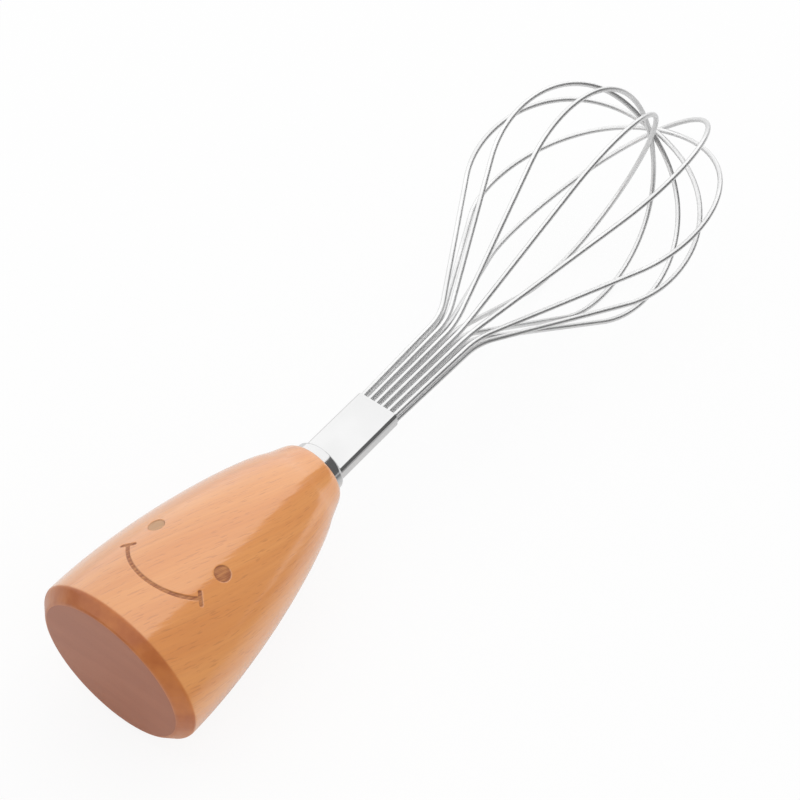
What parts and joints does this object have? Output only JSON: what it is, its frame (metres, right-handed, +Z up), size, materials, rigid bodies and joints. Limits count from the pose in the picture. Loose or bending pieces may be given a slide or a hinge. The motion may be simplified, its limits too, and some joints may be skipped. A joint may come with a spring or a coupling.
{
  "type": "egg whisk",
  "caption": "Balloon egg whisk with a bell-shaped turned wooden handle, a steel collar, a flat steel sleeve and crossing wire loops.",
  "frame": {"origin": "on the table, under the middle of the whisk's box, with the whisk lying as pictured", "axes": "+X from the base of the handle towards the tip of the wires, along the table; +Z up; the flat sleeve is level across Y"},
  "size_m": [0.2436, 0.0712, 0.0676],
  "materials": {
    "beech": "turned beech with a satin lacquer",
    "polished_steel": "polished stainless sheet",
    "wire_steel": "polished stainless spring wire",
    "plain_steel": "plain stainless strip"
  },
  "bodies": {
    "root": {"handle": "beech", "collar": "polished_steel", "sleeve": "polished_steel", "tang": "plain_steel", "wire_loop_1": "wire_steel", "wire_loop_2": "wire_steel", "wire_loop_3": "wire_steel", "wire_loop_4": "wire_steel", "wire_loop_5": "wire_steel", "wire_loop_6": "wire_steel"}
  },
  "joints": []
}
